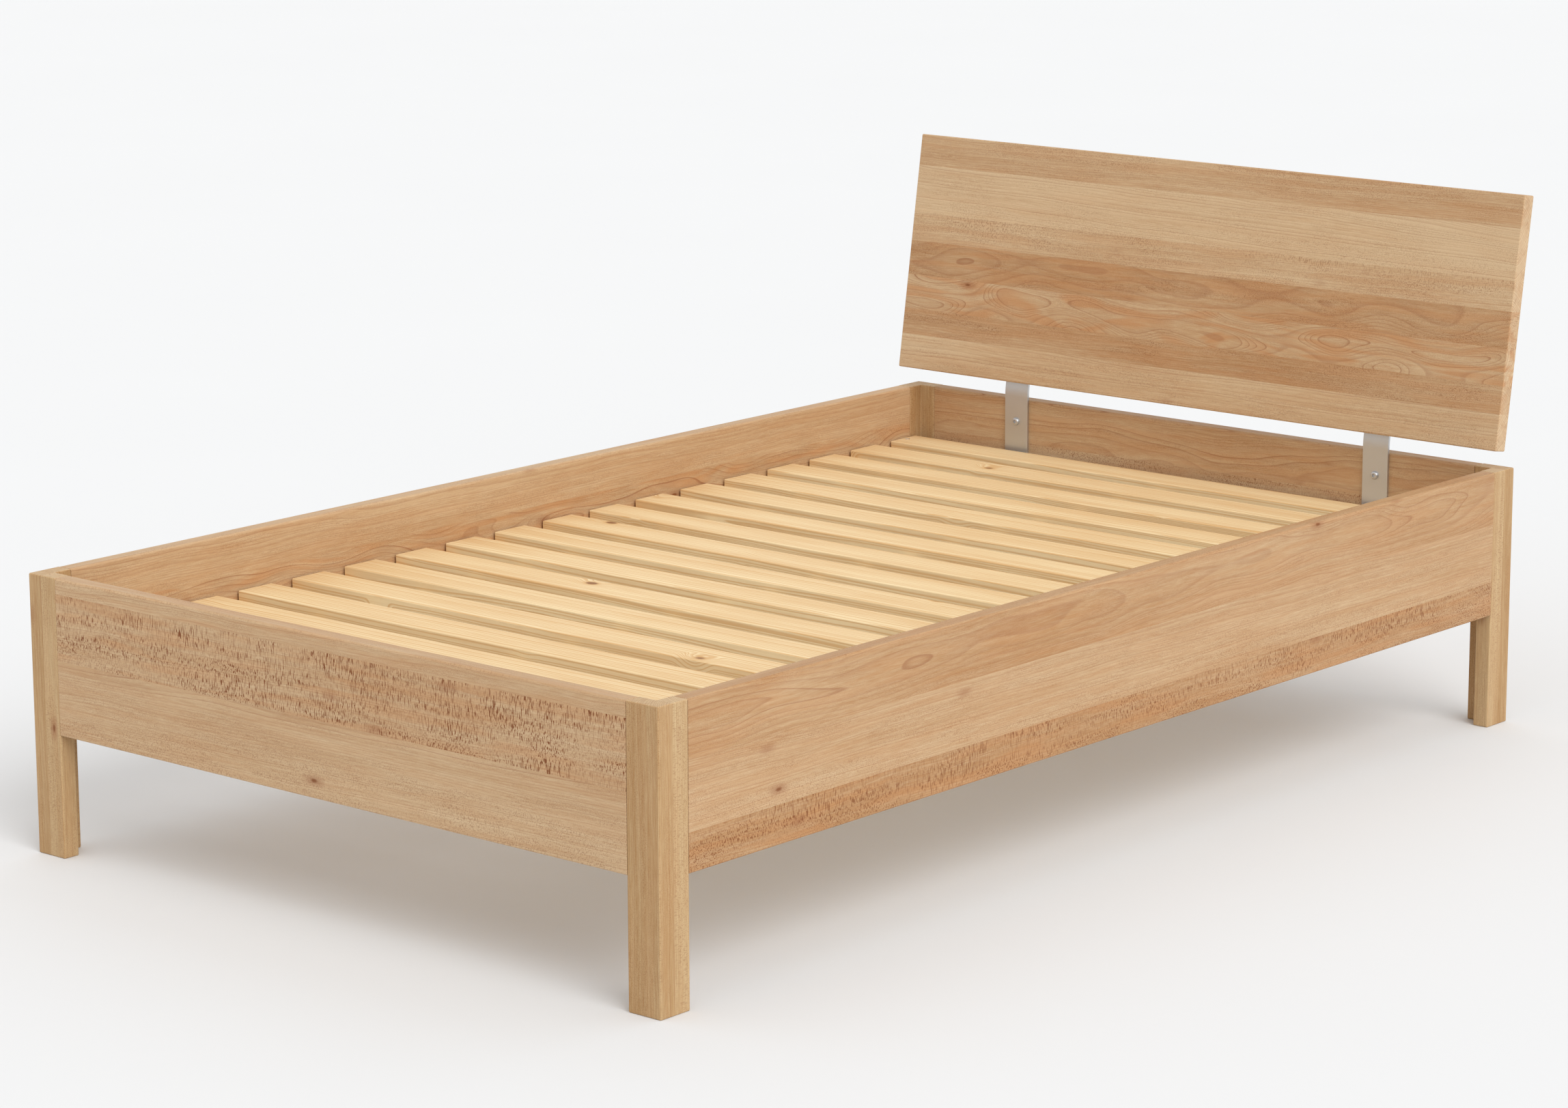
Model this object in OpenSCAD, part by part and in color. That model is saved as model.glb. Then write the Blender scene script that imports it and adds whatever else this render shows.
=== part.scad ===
// Wooden bed frame with L-section corner posts, a leaning headboard and a rolled slat base.
// Millimetres. +X is to the right seen from the foot end, +Y runs to the head end, +Z is up.
// The origin is on the floor, under the middle of the whole bed with its leaning headboard.

/* [Frame] */
// Outside length of the frame, from the foot rail's face to the head rail's back
bed_length = 2092; // [1700:1:2500]
// Outside width of the frame
bed_width = 1260; // [1040:1:1600]
// Height of the rails and posts above the floor
frame_height = 430; // [350:1:520]
// Thickness of every beech board
board_t = 28; // [23:0.1:34]
// Height of the four rails
rail_height = 240; // [200:1:290]
// Length of each arm of an L-section post
post_arm = 59; // [49:0.1:72]
// Rounding of the long edges along the top of the rails
rail_top_round = 4; // [1:0.5:6]
// Rounding of the other long edges
edge_round = 2.5; // [1:0.5:4]
// Rounding of the edges where a rail meets a post
joint_round = 0.8; // [0.4:0.1:1.5]

/* [Headboard] */
// How far the headboard stands past each side of the frame
headboard_overhang = 0; // [-60:1:60]
// Height of the headboard along its slope
headboard_height = 420; // [340:1:520]
// Lean of the headboard from upright, in degrees
headboard_tilt = 9; // [0:0.5:14]
// Distance along the slope from the bend of the brackets to the headboard's lower edge
headboard_lift = 16; // [10:1:40]
// Height of the brackets' bend above the rail
bend_rise = 15; // [8:1:40]

/* [Headboard brackets] */
// Width of a bracket's flat bar
bar_width = 50; // [40:1:60]
// Thickness of the flat bar
bar_t = 5; // [4:0.5:6]
// Distance between the middles of the two brackets
bar_spacing = 760; // [500:1:880]
// Number of bolts in each leg of a bracket
bar_bolts = 3; // [2:1:3]
// Distance between a bracket's bolts
bar_bolt_pitch = 62; // [45:1:65]
// Distance from a board's edge to the nearest bracket bolt
bar_bolt_in = 40; // [30:1:60]
// Metal past the last bolt of each leg
bar_end = 18; // [12:1:24]

/* [Corner brackets] */
// Thickness of the steel angle
angle_t = 3; // [2:0.5:4]
// Length of each wing of the steel angle
angle_wing = 108; // [100:1:130]
// Clear height between an angle and the ledger above it or the rail's lower edge below it
angle_clear = 5; // [3:1:8]
// Distance from the post joint to the angle's bolts in a rail
angle_bolt_in = 48; // [40:1:60]
// Distance from an angle's end to its first row of bolts
angle_row_in = 13; // [10:0.5:16]
// Distance between rows of bolts on one wing
angle_row_pitch = 36; // [30:1:40]

/* [Bolts and inserts] */
// Diameter of the bolts
bolt_d = 8; // [6:0.5:8]
// Length of the bolts under the head
bolt_length = 16; // [12:1:18]
// Diameter of a bolt's head
bolt_head_d = 14; // [11:0.5:16]
// Height of a bolt's head
bolt_head_h = 4.4; // [3:0.1:5]
// Width across the flats of the bolts' hexagon socket
socket_af = 5; // [4:0.5:6]
// Outside diameter of the threaded inserts
insert_d = 12; // [11:0.5:13]
// Length of the threaded inserts
insert_length = 15; // [12:0.5:16]
// Depth of the blind holes for the inserts
insert_hole = 18; // [17:0.5:20]

/* [Dowels] */
// Diameter of the wooden dowels
dowel_d = 8; // [6:0.5:8]
// Length of the wooden dowels
dowel_length = 40; // [30:1:50]
// Distance from the rail's top to the upper dowel
dowel_top = 36; // [25:1:60]

/* [Slat base] */
// Depth of the slats' upper face below the rails' top
deck_drop = 90; // [70:1:110]
// Number of slats
slat_count = 18; // [12:1:18]
// Width of a slat
slat_width = 70; // [50:1:80]
// Thickness of a slat
slat_t = 20; // [16:0.5:24]
// Clearance between a slat's end and the side rail
slat_end_gap = 4; // [2:0.5:8]
// Distance from the end rails to the first and the last slat
slat_first_gap = 20; // [16:1:30]
// Rounding of the slats' long edges
slat_round = 2; // [1:0.5:4]
// Thickness of the ledgers that carry the slats
ledger_t = 28; // [22:0.5:32]
// Height of the ledgers
ledger_height = 40; // [32:1:48]
// Distance from a post's inner face to the ledger's end
ledger_end_gap = 6; // [4:1:12]

/* [Tapes] */
// Width of the woven tapes that join the slats
tape_width = 25; // [20:1:40]
// Thickness of the tapes
tape_t = 1; // [0.8:0.1:1.4]
// Distance between neighbouring tapes
tape_spacing = 420; // [300:1:480]
// Distance from the outer edge of the end slats to the tapes' ends
tape_end_in = 6; // [4:1:12]
// Width of a staple's crown
staple_crown = 10; // [8:1:14]
// Length of a staple's legs
staple_leg = 12; // [8:1:14]
// Thickness of the staple wire
staple_wire = 1; // [0.7:0.1:1.2]

/* [Screws] */
// Diameter of the wood screws
screw_d = 4.5; // [3.5:0.5:5]
// Diameter of the wood screws' countersunk heads
screw_head_d = 9; // [7:0.5:10]
// Depth of a screw's cross recess
recess_depth = 2; // [1.5:0.1:2.4]
// Length of the screws through the ledgers
ledger_screw_length = 45; // [42:1:48]
// Number of screws in each ledger
ledger_screw_count = 7; // [4:1:10]
// Distance from a ledger's end to its first screw
ledger_screw_in = 90; // [60:5:150]
// Length of the screws through the end slats
slat_screw_length = 35; // [30:1:40]

/* [Hidden] */
$fn = 48;
// Clearance around dowels, inserts, bolts, screws and staples in their holes
fit_clear = 0.05;
// Clearance of the bolts in the steel brackets
bolt_clear = 0.25;
// Clearance between an angle's bend and the nearest bolt heads
bend_clear = 0.2;
// Extra length that takes a cut past a face
eps = 1;
beech = "#d9b286";
beech_pale = "#e0bf94";
pine = "#e8d3a8";
steel = "#b9bcbe";
cotton = "#ece6d6";

// Heights
rail_z = frame_height - rail_height;
deck_z = frame_height - deck_drop;
ledger_z = deck_z - slat_t - ledger_height;

// Headboard in the frame of the brackets' bend
hb_bottom = headboard_lift;
hb_top = headboard_lift + headboard_height;
hb_width = bed_width + 2 * headboard_overhang;
bend_z = frame_height + bend_rise;

// The headboard's rounded upper back edge or the head rail is the rearmost point of the bed
back_edge = (hb_top - edge_round) * sin(headboard_tilt) - edge_round * cos(headboard_tilt) + edge_round;
lean_out = back_edge - board_t - bar_t;
whole_length = bed_length + max(lean_out, 0);

// Lengthways places, to a hundredth of a millimetre so that pieces that touch are written alike
foot_y = -round(whole_length * 50) / 100;
head_y = foot_y + bed_length;
foot_inner = foot_y + board_t;
head_inner = head_y - board_t;
bend_y = head_inner - bar_t;
side_inner = bed_width / 2 - board_t;

// Legs of a headboard bracket, measured from its bend
bar_bolt_span = (bar_bolts - 1) * bar_bolt_pitch;
bar_down = bend_rise + bar_bolt_in + bar_bolt_span + bar_end;
bar_up = hb_bottom + bar_bolt_in + bar_bolt_span + bar_end;
bar_round = 6;

// Corner angles: the rows of bolts on the two wings are staggered by half a pitch
angle_z = rail_z + angle_clear;
angle_height = ledger_z - angle_clear - angle_z;
angle_stagger = angle_row_pitch / 2;
angle_rows = max(1, floor((angle_height - 2 * angle_row_in - angle_stagger) / angle_row_pitch) + 1);
angle_bolt_post = (board_t + post_arm) / 2;
angle_bolt_rail = post_arm + angle_bolt_in;
// The bend's inner rounding ends before the nearest bolt heads
angle_bend_room = angle_bolt_post - bolt_head_d / 2 - bend_clear - board_t - angle_t;
angle_bend_inner = min(angle_t, angle_bend_room);
angle_bend = angle_t + angle_bend_inner;

// Dowels in each joint between a post and a rail
dowel_rows = [ledger_z + ledger_height / 2, frame_height - dowel_top];
dowel_spare = 0.5;

// Slats
slat_length = 2 * (side_inner - slat_end_gap);
slat_first = foot_inner + slat_first_gap + slat_width / 2;
slat_last = head_inner - slat_first_gap - slat_width / 2;
slat_pitch = (slat_last - slat_first) / (slat_count - 1);

// Ledgers and their screws
ledger_first = foot_inner + ledger_end_gap;
ledger_length = head_inner - ledger_end_gap - ledger_first;
ledger_screw_pitch = (ledger_length - 2 * ledger_screw_in) / (ledger_screw_count - 1);
slat_screw_x = side_inner - ledger_t / 2;

// Tapes, stapled to the slats' undersides
tape_z = deck_z - slat_t - tape_t;
tape_first = slat_first - slat_width / 2 + tape_end_in;
tape_length = slat_last + slat_width / 2 - tape_end_in - tape_first;
tape_places = [-tape_spacing, 0, tape_spacing];

// Screw shape
screw_tip = 5;
screw_core = 0.4;
cross_width = 1.1;
cross_length = 5;

// Names
ENDS = ["foot", "head"];
SIDES = ["left", "right"];
TAPES = ["left", "middle", "right"];
function two_digits(n) = n < 10 ? str("0", n) : str(n);
function slat_name(i) = str("slat_", two_digits(i + 1));
function corner_names(stem) = [for (e = ENDS) for (s = SIDES) str(stem, "_", e, "_", s)];
function side_names(stem) = [for (s = SIDES) str(stem, "_", s)];

// ---------- shapes ----------

// A rectangle from the origin with its lower and its upper corners rounded
module rounded_rectangle(width, height, low, high) {
    translate([low, 0]) square([width - 2 * low, height / 2]);
    translate([0, low]) square([width, height - low - high]);
    translate([high, height / 2]) square([width - 2 * high, height / 2]);
    for (x = [low, width - low]) translate([x, low]) circle(low);
    for (x = [high, width - high]) translate([x, height - high]) circle(high);
}

// A board along X with rounded long edges and eased ends, from the origin
module board_x(length, t, height, low, high, end) {
    intersection() {
        rotate([90, 0, 90]) linear_extrude(length) rounded_rectangle(t, height, low, high);
        linear_extrude(height) rounded_rectangle(length, t, end, end);
        translate([0, t, 0]) rotate([90, 0, 0]) linear_extrude(t) rounded_rectangle(length, height, end, end);
    }
}

// Puts a child where the given corner of the frame is, with +x and +y turned inwards
module at_corner(end, side) {
    translate([side * bed_width / 2, end < 0 ? foot_y : head_y, 0])
        mirror([side < 0 ? 0 : 1, 0, 0])
            mirror([0, end < 0 ? 0 : 1, 0]) children();
}

// Puts a child at every bolt of a corner angle, on the wood's face, with +z out of the wood
module at_angle_bolts() {
    for (row = [0 : angle_rows - 1], along = [angle_bolt_post, angle_bolt_rail]) {
        z = angle_z + angle_row_in + row * angle_row_pitch;
        translate([along, board_t, z]) rotate([-90, 0, 0]) children();
        translate([board_t, along, z + angle_stagger]) rotate([0, 90, 0]) children();
    }
}

// Puts a child at every dowel of a corner, at the joint, with z along the dowel
module at_corner_dowels() {
    for (z = dowel_rows) {
        translate([post_arm, board_t / 2, z]) rotate([0, 90, 0]) children();
        translate([board_t / 2, post_arm, z]) rotate([90, 0, 0]) children();
    }
}

// The frame of a headboard bracket: the bend line on the bar's front face
module at_bar(side) {
    translate([side * bar_spacing / 2, bend_y, bend_z]) children();
}

// The leaning frame above the bend: y = 0 is the headboard's back, z runs up the slope
module leaning() {
    rotate([-headboard_tilt, 0, 0]) children();
}

// Puts a child at every bolt of a bracket's lower leg, on the rail's face, +z out of the wood
module at_bar_rail_bolts() {
    for (i = [0 : bar_bolts - 1])
        translate([0, bar_t, -bend_rise - bar_bolt_in - i * bar_bolt_pitch]) rotate([90, 0, 0]) children();
}

// Puts a child at every bolt of a bracket's upper leg, on the headboard's back, +z out of the wood
module at_bar_board_bolts() {
    leaning() for (i = [0 : bar_bolts - 1])
        translate([0, 0, hb_bottom + bar_bolt_in + i * bar_bolt_pitch]) rotate([-90, 0, 0]) children();
}

// Puts a child at every ledger screw of a side, on the ledger's inner face, +z out of the wood
module at_ledger_screws(side) {
    for (i = [0 : ledger_screw_count - 1]) {
        y = ledger_first + ledger_screw_in + i * ledger_screw_pitch;
        translate([side * (side_inner - ledger_t), y, ledger_z + ledger_height / 2])
            rotate([0, -side * 90, 0]) children();
    }
}

// Puts a child at every slat screw, on the end slats' upper face
module at_slat_screws() {
    for (x = [-slat_screw_x, slat_screw_x], y = [slat_first, slat_last])
        translate([x, y, deck_z]) children();
}

// Puts a child at every staple of a slat, on the tape's lower face, with +z down
module at_slat_staples(i) {
    for (x = tape_places) translate([x, slat_first + i * slat_pitch, tape_z]) mirror([0, 0, 1]) children();
}

// ---------- hardware ----------

// Button-head bolt with a hexagon socket; z = 0 is the underside of the head
module bolt() {
    crown = bolt_head_d / 6;
    difference() {
        union() {
            rotate_extrude() {
                square([bolt_head_d / 2, bolt_head_h / 2]);
                polygon([
                    [0, 0], [bolt_head_d / 2, 0], [bolt_head_d / 2, bolt_head_h / 3],
                    [bolt_head_d / 2 - crown / 2, bolt_head_h * 0.75],
                    [bolt_head_d / 2 - crown, bolt_head_h], [0, bolt_head_h]
                ]);
            }
            translate([0, 0, -bolt_length]) cylinder(h = bolt_length, d = bolt_d);
        }
        translate([0, 0, bolt_head_h * 0.4]) cylinder(h = bolt_head_h, d = socket_af / cos(30), $fn = 6);
    }
}

// Threaded insert, flush with the wood's face at z = 0
module insert() {
    translate([0, 0, -insert_length]) difference() {
        cylinder(h = insert_length, d = insert_d);
        translate([0, 0, -eps]) cylinder(h = insert_length + 2 * eps, d = bolt_d + 2 * fit_clear);
    }
}

module insert_cut() {
    translate([0, 0, -insert_hole]) cylinder(h = insert_hole + eps, d = insert_d + 2 * fit_clear);
}

module bolt_hole() {
    translate([0, 0, -eps]) cylinder(h = bar_t + angle_t + 2 * eps, d = bolt_d + 2 * bolt_clear);
}

// Outline of a countersunk screw, grown by the given clearance
module screw_outline(length, grow) {
    head_depth = (screw_head_d - screw_d) / 2;
    polygon([
        [0, 0], [screw_head_d / 2 + grow, 0], [screw_d / 2 + grow, -head_depth - grow],
        [screw_d / 2 + grow, -length + screw_tip], [screw_core + grow, -length - grow], [0, -length - grow]
    ]);
}

// Countersunk wood screw with a cross recess, head flush with z = 0
module screw(length) {
    difference() {
        rotate_extrude() screw_outline(length, 0);
        for (turn = [0, 90]) rotate([0, 0, turn])
            translate([-cross_length / 2, -cross_width / 2, -recess_depth])
                cube([cross_length, cross_width, recess_depth + eps]);
    }
}

module screw_cut(length) {
    rotate_extrude() union() {
        screw_outline(length, fit_clear);
        square([screw_head_d / 2 + fit_clear, eps]);
    }
}

// Staple: its crown lies on z = 0 and its legs point to -z
module staple(grow) {
    half = staple_crown / 2;
    translate([-half, -staple_wire / 2, 0]) cube([staple_crown, staple_wire, staple_wire]);
    for (x = [-half, half - staple_wire])
        translate([x - grow, -staple_wire / 2 - grow, -staple_leg - grow])
            cube([staple_wire + 2 * grow, staple_wire + 2 * grow, staple_leg + grow + staple_wire]);
}

// ---------- holes in the wood ----------

module corner_cuts(end, side) {
    at_corner(end, side) {
        at_angle_bolts() insert_cut();
        at_corner_dowels() cylinder(h = dowel_length + 2 * dowel_spare, d = dowel_d + 2 * fit_clear, center = true);
    }
}

// ---------- wooden pieces ----------

// End rail between two posts; end is -1 at the foot and 1 at the head
module end_rail(end) {
    color(beech) difference() {
        translate([-bed_width / 2 + post_arm, end < 0 ? foot_y : head_inner, rail_z])
            board_x(bed_width - 2 * post_arm, board_t, rail_height, edge_round, rail_top_round, joint_round);
        for (side = [-1, 1]) corner_cuts(end, side);
        if (end > 0) for (side = [-1, 1]) at_bar(side) at_bar_rail_bolts() insert_cut();
    }
}

module side_rail(side) {
    color(beech) difference() {
        translate([side < 0 ? -side_inner : bed_width / 2, foot_y + post_arm, rail_z]) rotate([0, 0, 90])
            board_x(bed_length - 2 * post_arm, board_t, rail_height, edge_round, rail_top_round, joint_round);
        for (end = [-1, 1]) corner_cuts(end, side);
        at_ledger_screws(side) screw_cut(ledger_screw_length);
    }
}

// Two boards glued edge to face make an L that leaves the mattress its corner
module post(end, side) {
    color(beech_pale) difference() {
        at_corner(end, side) {
            board_x(post_arm, board_t, frame_height, edge_round, edge_round, edge_round);
            translate([board_t, 0, 0]) rotate([0, 0, 90])
                board_x(post_arm, board_t, frame_height, edge_round, edge_round, edge_round);
        }
        corner_cuts(end, side);
    }
}

module headboard() {
    color(beech) difference() {
        translate([0, bend_y, bend_z]) leaning() translate([-hb_width / 2, -board_t, hb_bottom])
            board_x(hb_width, board_t, headboard_height, edge_round, edge_round, edge_round);
        for (side = [-1, 1]) at_bar(side) at_bar_board_bolts() insert_cut();
    }
}

module slat_ledger(side) {
    color(pine) difference() {
        translate([side < 0 ? -side_inner + ledger_t : side_inner, ledger_first, ledger_z]) rotate([0, 0, 90])
            board_x(ledger_length, ledger_t, ledger_height, slat_round, slat_round, joint_round);
        at_ledger_screws(side) screw_cut(ledger_screw_length);
        at_slat_screws() screw_cut(slat_screw_length);
    }
}

module slat(i) {
    end_slat = i == 0 || i == slat_count - 1;
    color(pine) difference() {
        translate([-slat_length / 2, slat_first + i * slat_pitch - slat_width / 2, deck_z - slat_t])
            board_x(slat_length, slat_width, slat_t, slat_round, slat_round, joint_round);
        if (end_slat) at_slat_screws() screw_cut(slat_screw_length);
        at_slat_staples(i) staple(fit_clear);
    }
}

module rail_dowels() {
    color(beech_pale) for (end = [-1, 1], side = [-1, 1]) at_corner(end, side)
        at_corner_dowels() cylinder(h = dowel_length, d = dowel_d, center = true);
}

// ---------- steel pieces ----------

// Flat bar: straight down the rail's inner face, bent back, and up the headboard's back
module headboard_bracket(side) {
    t = headboard_tilt;
    color(steel) at_bar(side) difference() {
        intersection() {
            translate([-bar_width / 2, 0, 0]) rotate([90, 0, 90]) linear_extrude(bar_width) polygon([
                [0, -bar_down], [0, 0], [bar_up * sin(t), bar_up * cos(t)],
                [bar_up * sin(t) + bar_t * cos(t), bar_up * cos(t) - bar_t * sin(t)],
                [bar_t, -bar_t * tan(t / 2)], [bar_t, -bar_down]
            ]);
            union() {
                translate([-bar_width / 2, bar_t + eps, -bar_down]) rotate([90, 0, 0])
                    linear_extrude(bar_t + 2 * eps)
                        rounded_rectangle(bar_width, bar_down, bar_round, eps);
                leaning() translate([-bar_width / 2, bar_t + eps, -2 * eps]) rotate([90, 0, 0])
                    linear_extrude(bar_t + 2 * eps)
                        rounded_rectangle(bar_width, bar_up + 2 * eps, eps, bar_round);
            }
        }
        at_bar_rail_bolts() bolt_hole();
        at_bar_board_bolts() bolt_hole();
    }
}

// Bent steel angle in the inner corner of a post, bolted to the post and to both rails
module corner_bracket(end, side) {
    color(steel) at_corner(end, side) difference() {
        translate([board_t, board_t, angle_z]) linear_extrude(angle_height) {
            difference() {
                union() {
                    square([angle_wing, angle_t]);
                    square([angle_t, angle_wing]);
                    square([angle_bend, angle_bend]);
                }
                square([angle_bend, angle_bend]);
            }
            intersection() {
                square([angle_bend, angle_bend]);
                translate([angle_bend, angle_bend]) difference() {
                    circle(angle_bend);
                    circle(angle_bend_inner);
                }
            }
        }
        at_angle_bolts() bolt_hole();
    }
}

module corner_bolts(end, side) {
    color(steel) at_corner(end, side) at_angle_bolts() translate([0, 0, angle_t]) bolt();
}

module corner_inserts(end, side) {
    color(steel) at_corner(end, side) at_angle_bolts() insert();
}

module headboard_bolts() {
    color(steel) for (side = [-1, 1]) at_bar(side) {
        at_bar_rail_bolts() translate([0, 0, bar_t]) bolt();
        at_bar_board_bolts() translate([0, 0, bar_t]) bolt();
    }
}

module headboard_inserts() {
    color(steel) for (side = [-1, 1]) at_bar(side) {
        at_bar_rail_bolts() insert();
        at_bar_board_bolts() insert();
    }
}

module ledger_screws(side) {
    color(steel) at_ledger_screws(side) screw(ledger_screw_length);
}

module slat_screws() {
    color(steel) at_slat_screws() screw(slat_screw_length);
}

module tape_staples() {
    color(steel) for (i = [0 : slat_count - 1]) at_slat_staples(i) staple(0);
}

// ---------- tapes ----------

module slat_tape(x) {
    color(cotton) difference() {
        translate([x - tape_width / 2, tape_first, tape_z]) cube([tape_width, tape_length, tape_t]);
        for (i = [0 : slat_count - 1]) at_slat_staples(i) staple(fit_clear);
    }
}

// ---------- assembly ----------

end_rail(-1);  // foot_rail
end_rail(1);  // head_rail
headboard();
for (i = [0, 1]) {
    side_rail(2 * i - 1);
    headboard_bracket(2 * i - 1);
    slat_ledger(2 * i - 1);
    ledger_screws(2 * i - 1);
}
for (e = [0, 1], s = [0, 1]) {
    corner = 2 * e + s;
    post(2 * e - 1, 2 * s - 1);
    corner_bracket(2 * e - 1, 2 * s - 1);
    corner_bolts(2 * e - 1, 2 * s - 1);
    corner_inserts(2 * e - 1, 2 * s - 1);
}
for (i = [0 : slat_count - 1]) slat(i);
for (i = [0 : len(TAPES) - 1]) slat_tape(tape_places[i]);
headboard_bolts();
headboard_inserts();
rail_dowels();
slat_screws();
tape_staples();
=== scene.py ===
"""Low solid-beech bed frame: L-section posts, four rails, a leaning headboard and a slat base."""

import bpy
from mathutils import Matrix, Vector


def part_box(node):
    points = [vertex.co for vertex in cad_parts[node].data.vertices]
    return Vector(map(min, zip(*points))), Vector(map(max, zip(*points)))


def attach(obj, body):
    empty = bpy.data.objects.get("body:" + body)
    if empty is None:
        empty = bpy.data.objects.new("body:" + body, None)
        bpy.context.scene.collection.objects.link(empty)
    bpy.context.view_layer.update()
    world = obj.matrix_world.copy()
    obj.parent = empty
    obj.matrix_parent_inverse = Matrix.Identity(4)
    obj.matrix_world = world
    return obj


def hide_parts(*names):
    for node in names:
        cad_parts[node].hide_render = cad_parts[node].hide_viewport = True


bl_info = {
    "name": "Beech Bed Frame",
    "version": (1, 0, 0),
    "blender": (4, 5, 0),
    "location": "View3D > Sidebar > Bed",
    "description": "Builds the pieces of a solid-beech bed frame around its packed frame",
    "category": "Object",
}

import random
from collections import namedtuple
from math import asin, atan2, copysign, cos, pi, radians, sin, tan, tau

import bmesh
import bpy
from bpy.props import FloatProperty, FloatVectorProperty, IntProperty, PointerProperty
from bpy.types import NodeSocket, Operator, Panel, PropertyGroup, Scene
from mathutils import Euler, Matrix, Vector

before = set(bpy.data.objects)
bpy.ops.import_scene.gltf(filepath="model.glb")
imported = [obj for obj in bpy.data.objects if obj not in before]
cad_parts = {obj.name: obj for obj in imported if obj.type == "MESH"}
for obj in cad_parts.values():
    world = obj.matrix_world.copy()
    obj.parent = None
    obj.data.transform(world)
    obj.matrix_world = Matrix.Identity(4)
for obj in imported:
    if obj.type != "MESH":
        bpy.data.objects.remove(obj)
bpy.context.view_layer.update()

MM = 0.001
X, Y, Z = (Vector(v) for v in ((1, 0, 0), (0, 1, 0), (0, 0, 1)))
SIDES = ("left", "right")
# The bed's corners, and the two ways inwards from each
CORNERS = {
    "foot_left": (X, Y),
    "foot_right": (-X, Y),
    "head_left": (X, -Y),
    "head_right": (-X, -Y),
}


def linear(text):
    """Linear colour of an sRGB hex value such as "#d9b48a"."""
    parts = [int(text[i : i + 2], 16) / 255 for i in (1, 3, 5)]
    return [c / 12.92 if c <= 0.04045 else ((c + 0.055) / 1.055) ** 2.4 for c in parts]


def colour_property(name, description, text):
    colour = linear(text)
    return FloatVectorProperty(
        name=name, description=description, subtype="COLOR", size=3, min=0, max=1, default=colour
    )


def length_property(name, description, millimetres):
    size = millimetres * MM
    return FloatProperty(
        name=name, description=description, unit="LENGTH", subtype="DISTANCE", min=0, default=size
    )


def angle_property(name, description, degrees):
    turn = radians(degrees)
    return FloatProperty(name=name, description=description, unit="ROTATION", default=turn)


# ---------------------------------------------------------------- staves

# One stave of an edge-glued board, from its upper edge down: its width in millimetres, the angle
# from the board's face to the tree's pith in degrees (0 is flat-sawn, 90 is quarter-sawn), and from
# 0 to 1 how pale it is, how much its rays show and how curly it grew.
Stave = namedtuple("Stave", "width sawn pale rays curl")

FOOT_STAVES = (
    Stave(24, 40, 0.55, 0.3, 0.3),
    Stave(101, 84, 0.58, 1.0, 0.2),
    Stave(115, 52, 0.6, 0.4, 0.05),
)
HEAD_STAVES = (
    Stave(78, 20, 0.5, 0.3, 0.4),
    Stave(92, 70, 0.6, 0.6, 0.2),
    Stave(70, 35, 0.42, 0.3, 0.3),
)
RIGHT_STAVES = (
    Stave(87, 9, 0.26, 0.3, 0.26),
    Stave(96, 46, 0.5, 0.35, 0.12),
    Stave(57, 80, 0.18, 0.85, 0.3),
)
LEFT_STAVES = (
    Stave(64, 45, 0.58, 0.3, 0.15),
    Stave(108, 8, 0.46, 0.3, 0.7),
    Stave(68, 75, 0.5, 0.7, 0.2),
)
HEADBOARD_STAVES = (
    Stave(55, 50, 0.6, 0.4, 0.15),
    Stave(86, 40, 1.0, 0.3, 0.05),
    Stave(50, 62, 0.76, 0.5, 0.15),
    Stave(61, 6, 0.28, 0.6, 0.42),
    Stave(61, 4, 0.56, 0.3, 1.0),
    Stave(46, 48, 0.38, 0.6, 0.2),
    Stave(61, 38, 0.84, 0.35, 0.1),
)
# A post's two boards and the spruce pieces, which are one stave each
POST_STAVES = (Stave(59, 28, 0.4, 0.3, 0.04), Stave(31, 66, 0.62, 0.3, 0.06))
LEDGER_STAVES = (Stave(40, 50, 0.5, 0, 0.2),)
SLAT_STAVES = (Stave(20, 62, 0.5, 0, 0.2),)


# ---------------------------------------------------------------- properties


class BedWood(PropertyGroup):
    """Finish of the beech and the spruce"""

    pale: colour_property("Pale beech", "Oiled beech where it is palest", "#d0b692")
    deep: colour_property("Deep beech", "Oiled beech where it is darkest", "#ae8459")
    blush: colour_property("Blush", "Reddish tint of curly and steamed beech", "#bd8757")
    late: colour_property("Late wood", "Thin line that ends each year ring of the beech", "#8d5635")
    ray: colour_property("Rays", "Flecks where the saw cut along the beech's rays", "#7c4824")
    post_pale: colour_property("Pale post", "Palest tone of the yellower posts", "#cdb38a")
    post_deep: colour_property("Deep post", "Darkest tone of the posts", "#a27a4a")
    ring: length_property("Beech ring", "Mean width of a year ring in the beech", 2.9)
    spruce: colour_property("Spruce", "Early wood of the planed spruce", "#edd6aa")
    spruce_late: colour_property("Spruce late wood", "Late wood of the planed spruce", "#cc9a5c")
    knot: colour_property("Knot", "Heart of a knot in the spruce", "#7d4a24")
    spruce_ring: length_property("Spruce ring", "Mean width of a year ring in the spruce", 4.2)


class BedEdges(PropertyGroup):
    """Rounded edges of the wooden pieces"""

    rail_top: length_property("Rail's top", "Rounding of the rails' upper edges", 4.0)
    edge: length_property("Edges", "Rounding of the other long edges and of the posts", 2.5)
    joint: length_property("Joints", "Easing of the edges where a rail meets a post", 0.8)
    slat: length_property("Slats", "Rounding of the slats' and ledgers' long edges", 2.0)
    steps: IntProperty(
        name="Steps", description="Faces across a rounded edge", min=2, max=12, default=6
    )


class BedSlats(PropertyGroup):
    """Slats and the tapes under them"""

    seed: IntProperty(
        name="Seed", description="Which boards the slats were cut from", min=0, default=7
    )
    sag: length_property("Sag", "How far a tape hangs between two slats", 3.5)
    thread: length_property("Thread", "Distance between warp threads, drawn coarse to show", 2.2)
    cotton: colour_property("Cotton", "Unbleached cotton of the tapes", "#ebe5d6")


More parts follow.
